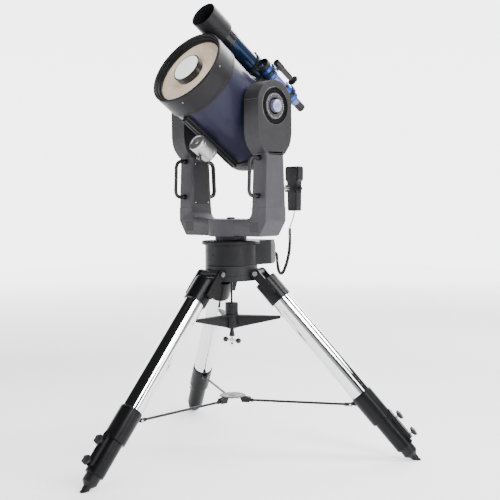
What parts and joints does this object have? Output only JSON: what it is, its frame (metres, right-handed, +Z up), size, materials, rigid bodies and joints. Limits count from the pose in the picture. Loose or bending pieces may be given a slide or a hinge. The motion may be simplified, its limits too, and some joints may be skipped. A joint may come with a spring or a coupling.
{
  "type": "schmidt-cassegrain telescope",
  "caption": "Fork-mounted Schmidt-Cassegrain telescope with a guide scope and finder, on a folding tripod with sliding legs, a tension knob, a centre brace, and a handset on a curly cord.",
  "frame": {"origin": "the floor, at the centre of the box that the object fits in; the azimuth axis stands 172.4 mm behind it", "axes": "+Z up; the optical tube points towards -Y and up; +X is towards the arm with the handset"},
  "size_m": [1.2278, 1.0671, 1.6631],
  "materials": {
    "fork_paint": "satin",
    "arm_paint": "satin",
    "satin_black": "satin",
    "steel_black": "satin",
    "leg_chrome": "polished",
    "bright_steel": "satin",
    "tube_blue": "gloss",
    "scope_blue": "gloss",
    "black_plastic": "matte",
    "key_rubber": "matte",
    "cord_rubber": "satin",
    "corrector_glass": "polished",
    "mirror_silver": "polished"
  },
  "bodies": {
    "stand": {"tripod_head": "satin_black", "tension_rod": "bright_steel", "drive_base": "satin_black", "control_panel": "black_plastic", "cord_curl_lower": "cord_rubber"},
    "brace_hub": {"brace_hub": "steel_black"},
    "spreader": {"leg_spreader": "satin_black"},
    "tension_knob": {"tension_knob": "black_plastic"},
    "fork": {"fork_base": "fork_paint", "fork_arm_left": "arm_paint", "fork_arm_right": "arm_paint", "grab_handle_right_front": "black_plastic", "grab_handle_left_front": "black_plastic", "grab_handle_left_rear": "black_plastic", "handset": "black_plastic", "handset_bracket": "arm_paint", "cord_lead": "cord_rubber", "cord_curl_upper": "cord_rubber"},
    "keypad": {"keypad": "key_rubber"},
    "altitude_knob": {"altitude_knob": "bright_steel"},
    "optical_tube": {"trunnion_left": "arm_paint", "trunnion_right": "arm_paint", "main_tube": "tube_blue", "front_cell": "satin_black", "corrector_plate": "corrector_glass", "secondary_mirror": "satin_black", "rear_cell": "fork_paint", "baffle_tube": "black_plastic", "visual_back": "satin_black", "balance_rail": "satin_black", "guide_scope": "tube_blue", "guide_mount": "satin_black", "guide_finder": "satin_black", "finder_scope": "scope_blue", "finder_bracket": "satin_black"},
    "primary_mirror": {"primary_mirror": "mirror_silver"},
    "focus_knob": {"focus_knob": "key_rubber"},
    "counterweight": {"counterweight": "bright_steel"},
    "guide_focuser": {"guide_focuser": "satin_black"},
    "leg_front": {"leg_yoke_front": "satin_black", "leg_tube_front": "leg_chrome", "leg_collar_front": "satin_black"},
    "extension_front": {"leg_extension_front": "steel_black"},
    "brace_rod_front": {"brace_rod_front": "steel_black"},
    "lock_knob_front_upper": {"lock_knob_front_upper": "black_plastic"},
    "lock_knob_front_lower": {"lock_knob_front_lower": "black_plastic"},
    "leg_right": {"leg_yoke_right": "satin_black", "leg_tube_right": "leg_chrome", "leg_collar_right": "satin_black"},
    "extension_right": {"leg_extension_right": "steel_black"},
    "brace_rod_right": {"brace_rod_right": "steel_black"},
    "lock_knob_right_upper": {"lock_knob_right_upper": "black_plastic"},
    "lock_knob_right_lower": {"lock_knob_right_lower": "black_plastic"},
    "leg_left": {"leg_yoke_left": "satin_black", "leg_tube_left": "leg_chrome", "leg_collar_left": "satin_black"},
    "extension_left": {"leg_extension_left": "steel_black"},
    "brace_rod_left": {"brace_rod_left": "steel_black"},
    "lock_knob_left_upper": {"lock_knob_left_upper": "black_plastic"},
    "lock_knob_left_lower": {"lock_knob_left_lower": "black_plastic"}
  },
  "joints": [
    {"name": "leg_fold_front", "type": "hinge", "parent": "stand", "child": "leg_front", "pos_m": [0, 0.06638, 0.676], "axis": [1, 0, 0], "range_deg": [0, 7.5]},
    {"name": "brace_fold_front", "type": "hinge", "parent": "leg_front", "child": "brace_rod_front", "pos_m": [0, -0.2774, 0.19202], "axis": [1, 0, 0], "range_deg": [0, 26.57]},
    {"name": "leg_slide_front", "type": "slide", "parent": "leg_front", "child": "extension_front", "axis": [0, -0.6534, -0.757], "range_m": [0, 0.4]},
    {"name": "lock_turn_front_upper", "type": "hinge", "parent": "leg_front", "child": "lock_knob_front_upper", "pos_m": [0, -0.44912, 0.1553], "axis": [0, -0.757, 0.6534], "range_deg": [-360, 720]},
    {"name": "lock_turn_front_lower", "type": "hinge", "parent": "leg_front", "child": "lock_knob_front_lower", "pos_m": [0, -0.49878, 0.09777], "axis": [0, -0.757, 0.6534], "range_deg": [-360, 720]},
    {"name": "leg_fold_right", "type": "hinge", "parent": "stand", "child": "leg_right", "pos_m": [0.0918, 0.22537, 0.676], "axis": [-0.5, 0.866, 0], "range_deg": [0, 7.6]},
    {"name": "brace_fold_right", "type": "hinge", "parent": "leg_right", "child": "brace_rod_right", "pos_m": [0.38952, 0.39726, 0.19202], "axis": [-0.5, 0.866, 0], "range_deg": [0, 26.57]},
    {"name": "leg_slide_right", "type": "slide", "parent": "leg_right", "child": "extension_right", "axis": [0.5659, 0.3267, -0.757], "range_m": [0, 0.4]},
    {"name": "lock_turn_right_upper", "type": "hinge", "parent": "leg_right", "child": "lock_knob_right_upper", "pos_m": [0.53823, 0.48312, 0.1553], "axis": [0.6556, 0.3785, 0.6534], "range_deg": [-360, 720]},
    {"name": "lock_turn_right_lower", "type": "hinge", "parent": "leg_right", "child": "lock_knob_right_lower", "pos_m": [0.58124, 0.50795, 0.09777], "axis": [0.6556, 0.3785, 0.6534], "range_deg": [-360, 720]},
    {"name": "leg_fold_left", "type": "hinge", "parent": "stand", "child": "leg_left", "pos_m": [-0.0918, 0.22537, 0.676], "axis": [-0.5, -0.866, 0], "range_deg": [0, 7.6]},
    {"name": "brace_fold_left", "type": "hinge", "parent": "leg_left", "child": "brace_rod_left", "pos_m": [-0.38952, 0.39726, 0.19202], "axis": [-0.5, -0.866, 0], "range_deg": [0, 26.57]},
    {"name": "leg_slide_left", "type": "slide", "parent": "leg_left", "child": "extension_left", "axis": [-0.5659, 0.3267, -0.757], "range_m": [0, 0.4]},
    {"name": "lock_turn_left_upper", "type": "hinge", "parent": "leg_left", "child": "lock_knob_left_upper", "pos_m": [-0.53823, 0.48312, 0.1553], "axis": [-0.6556, 0.3785, 0.6534], "range_deg": [-360, 720]},
    {"name": "lock_turn_left_lower", "type": "hinge", "parent": "leg_left", "child": "lock_knob_left_lower", "pos_m": [-0.58124, 0.50795, 0.09777], "axis": [-0.6556, 0.3785, 0.6534], "range_deg": [-360, 720]},
    {"name": "brace_rise", "type": "slide", "parent": "stand", "child": "brace_hub", "axis": [0, 0, 1], "range_m": [0, 0.1781]},
    {"name": "spreader_turn", "type": "hinge", "parent": "stand", "child": "spreader", "pos_m": [0, 0.17238, 0.515], "axis": [0, 0, 1], "range_deg": [0, 60.2]},
    {"name": "tension_turn", "type": "hinge", "parent": "stand", "child": "tension_knob", "pos_m": [0, 0.17238, 0.419], "axis": [0, 0, 1], "range_deg": [-720, 720]},
    {"name": "azimuth", "type": "hinge", "parent": "stand", "child": "fork", "pos_m": [0, 0.17238, 0.8], "axis": [0, 0, 1], "range_deg": [-180, 180]},
    {"name": "altitude", "type": "hinge", "parent": "fork", "child": "optical_tube", "pos_m": [0, 0.17238, 1.282], "axis": [-1, 0, 0], "range_deg": [-33, 57]},
    {"name": "altitude_knob_turn", "type": "hinge", "parent": "fork", "child": "altitude_knob", "pos_m": [0.235, 0.17238, 1.282], "axis": [1, 0, 0], "range_deg": [0, 180]},
    {"name": "mirror_focus", "type": "slide", "parent": "optical_tube", "child": "primary_mirror", "axis": [0, -0.8425, 0.5388], "range_m": [-0.008, 0.012]},
    {"name": "focus_turn", "type": "hinge", "parent": "optical_tube", "child": "focus_knob", "pos_m": [0.072, 0.35076, 1.10619], "axis": [0, -0.8425, 0.5388], "range_deg": [-2900, 4350]},
    {"name": "weight_slide", "type": "slide", "parent": "optical_tube", "child": "counterweight", "axis": [0, -0.8425, 0.5388], "range_m": [-0.12, 0.06]},
    {"name": "guide_focus", "type": "slide", "parent": "optical_tube", "child": "guide_focuser", "axis": [0, 0.8425, -0.5388], "range_m": [0, 0.04]},
    {"name": "key_press", "type": "slide", "parent": "fork", "child": "keypad", "axis": [0, -1, 0], "range_m": [0, 0.001], "stiffness_N_per_m": 800}
  ],
  "couplings": [
    {"joint": "brace_fold_front", "follows": "leg_fold_front", "ratio": 3.503},
    {"joint": "leg_fold_right", "follows": "leg_fold_front", "ratio": 1},
    {"joint": "brace_fold_right", "follows": "leg_fold_front", "ratio": 3.503},
    {"joint": "leg_fold_left", "follows": "leg_fold_front", "ratio": 1},
    {"joint": "brace_fold_left", "follows": "leg_fold_front", "ratio": 3.503},
    {"joint": "brace_rise", "follows": "leg_fold_front", "m_per_rad": 1.3526},
    {"joint": "spreader_turn", "follows": "leg_fold_front", "ratio": 8},
    {"joint": "focus_turn", "follows": "mirror_focus", "rad_per_m": 6283.2}
  ]
}
